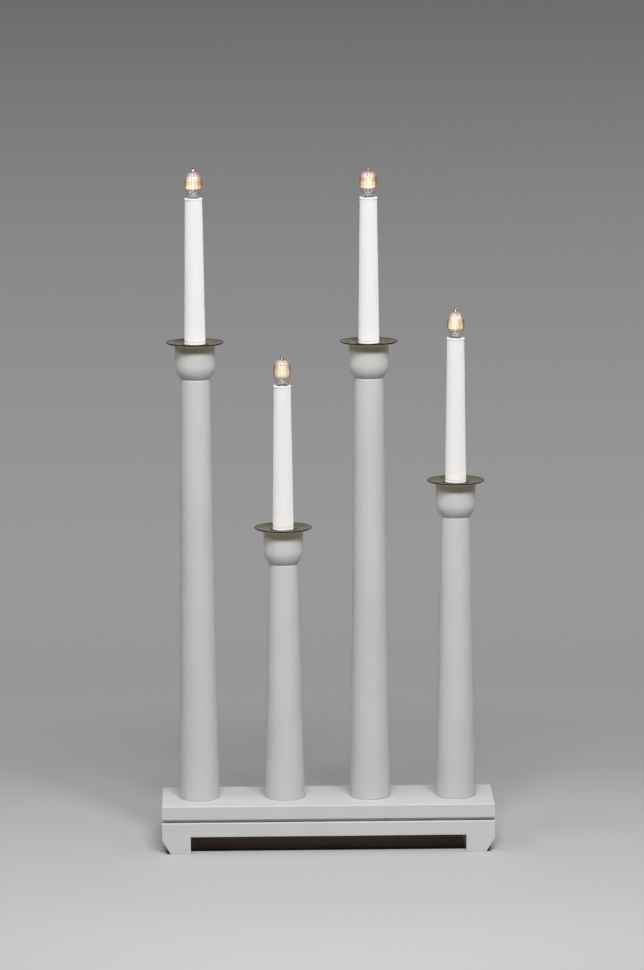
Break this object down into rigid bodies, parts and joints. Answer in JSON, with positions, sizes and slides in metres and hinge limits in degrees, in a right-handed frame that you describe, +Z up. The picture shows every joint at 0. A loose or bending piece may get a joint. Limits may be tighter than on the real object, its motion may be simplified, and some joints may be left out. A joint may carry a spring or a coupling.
{
  "type": "electric candle holder",
  "caption": "Electric candle holder: turned, painted wooden columns of different heights on a footed bench base, each with a brass drip plate, a plastic candle and a screw-in lamp.",
  "frame": {"origin": "middle of the base on the table, under the row of columns", "axes": "+X along the base to the right as seen from the front, +Y to the back, +Z up"},
  "size_m": [0.28, 0.07, 0.5749],
  "materials": {
    "grey_paint": "satin paint on turned and sawn wood",
    "hardboard": "smooth hardboard",
    "zinc": "zinc plated",
    "black_plastic": "moulded",
    "insulating_plastic": "moulded",
    "wire_sheath": "extruded",
    "spring_steel": "drawn wire",
    "aged_brass": "spun and aged",
    "brass": "turned",
    "candle_plastic": "moulded",
    "cap_brass": "pressed",
    "cap_insulator": "black glass",
    "solder": "soldered",
    "clear_glass": "blown, clear",
    "stem_glass": "pressed, clear",
    "filament_wire": "drawn wire, glowing"
  },
  "bodies": {
    "holder": {"base_board": "grey_paint", "base_feet": "grey_paint", "base_cover": "hardboard", "cover_screws": "zinc", "cord_bush": "black_plastic", "terminal_block": "insulating_plastic", "wiring": "wire_sheath", "contact_springs": "spring_steel", "column_1": "grey_paint", "drip_plate_1": "aged_brass", "spigot_1": "brass", "candle_tube_1": "candle_plastic", "lamp_holder_1": "insulating_plastic", "screw_shell_1": "brass", "column_2": "grey_paint", "drip_plate_2": "aged_brass", "spigot_2": "brass", "candle_tube_2": "candle_plastic", "lamp_holder_2": "insulating_plastic", "screw_shell_2": "brass", "column_3": "grey_paint", "drip_plate_3": "aged_brass", "spigot_3": "brass", "candle_tube_3": "candle_plastic", "lamp_holder_3": "insulating_plastic", "screw_shell_3": "brass", "column_4": "grey_paint", "drip_plate_4": "aged_brass", "spigot_4": "brass", "candle_tube_4": "candle_plastic", "lamp_holder_4": "insulating_plastic", "screw_shell_4": "brass"},
    "contact_1": {"centre_contact_1": "brass"},
    "lamp_1": {"lamp_cap_1": "cap_brass", "lamp_insulator_1": "cap_insulator", "lamp_solder_tip_1": "solder", "bulb_glass_1": "clear_glass", "lamp_stem_1": "stem_glass", "filament_1": "filament_wire"},
    "contact_2": {"centre_contact_2": "brass"},
    "lamp_2": {"lamp_cap_2": "cap_brass", "lamp_insulator_2": "cap_insulator", "lamp_solder_tip_2": "solder", "bulb_glass_2": "clear_glass", "lamp_stem_2": "stem_glass", "filament_2": "filament_wire"},
    "contact_3": {"centre_contact_3": "brass"},
    "lamp_3": {"lamp_cap_3": "cap_brass", "lamp_insulator_3": "cap_insulator", "lamp_solder_tip_3": "solder", "bulb_glass_3": "clear_glass", "lamp_stem_3": "stem_glass", "filament_3": "filament_wire"},
    "contact_4": {"centre_contact_4": "brass"},
    "lamp_4": {"lamp_cap_4": "cap_brass", "lamp_insulator_4": "cap_insulator", "lamp_solder_tip_4": "solder", "bulb_glass_4": "clear_glass", "lamp_stem_4": "stem_glass", "filament_4": "filament_wire"}
  },
  "joints": [
    {"name": "lamp_1_rise", "type": "slide", "parent": "holder", "child": "contact_1", "axis": [0, 0, 1], "range_m": [0, 0.00182], "deforming": ["contact_springs"]},
    {"name": "lamp_1_turn", "type": "hinge", "parent": "contact_1", "child": "lamp_1", "pos_m": [-0.1086, 0, 0.5497], "axis": [0, 0, 1], "range_deg": [0, 360]},
    {"name": "lamp_2_rise", "type": "slide", "parent": "holder", "child": "contact_2", "axis": [0, 0, 1], "range_m": [0, 0.00182], "deforming": ["contact_springs"]},
    {"name": "lamp_2_turn", "type": "hinge", "parent": "contact_2", "child": "lamp_2", "pos_m": [-0.0362, 0, 0.3927], "axis": [0, 0, 1], "range_deg": [0, 360]},
    {"name": "lamp_3_rise", "type": "slide", "parent": "holder", "child": "contact_3", "axis": [0, 0, 1], "range_m": [0, 0.00182], "deforming": ["contact_springs"]},
    {"name": "lamp_3_turn", "type": "hinge", "parent": "contact_3", "child": "lamp_3", "pos_m": [0.0362, 0, 0.5497], "axis": [0, 0, 1], "range_deg": [0, 360]},
    {"name": "lamp_4_rise", "type": "slide", "parent": "holder", "child": "contact_4", "axis": [0, 0, 1], "range_m": [0, 0.00182], "deforming": ["contact_springs"]},
    {"name": "lamp_4_turn", "type": "hinge", "parent": "contact_4", "child": "lamp_4", "pos_m": [0.1086, 0, 0.4317], "axis": [0, 0, 1], "range_deg": [0, 360]}
  ],
  "couplings": [
    {"joint": "lamp_1_rise", "follows": "lamp_1_turn", "m_per_rad": 0.00028875},
    {"joint": "lamp_2_rise", "follows": "lamp_2_turn", "m_per_rad": 0.00028875},
    {"joint": "lamp_3_rise", "follows": "lamp_3_turn", "m_per_rad": 0.00028875},
    {"joint": "lamp_4_rise", "follows": "lamp_4_turn", "m_per_rad": 0.00028875}
  ]
}
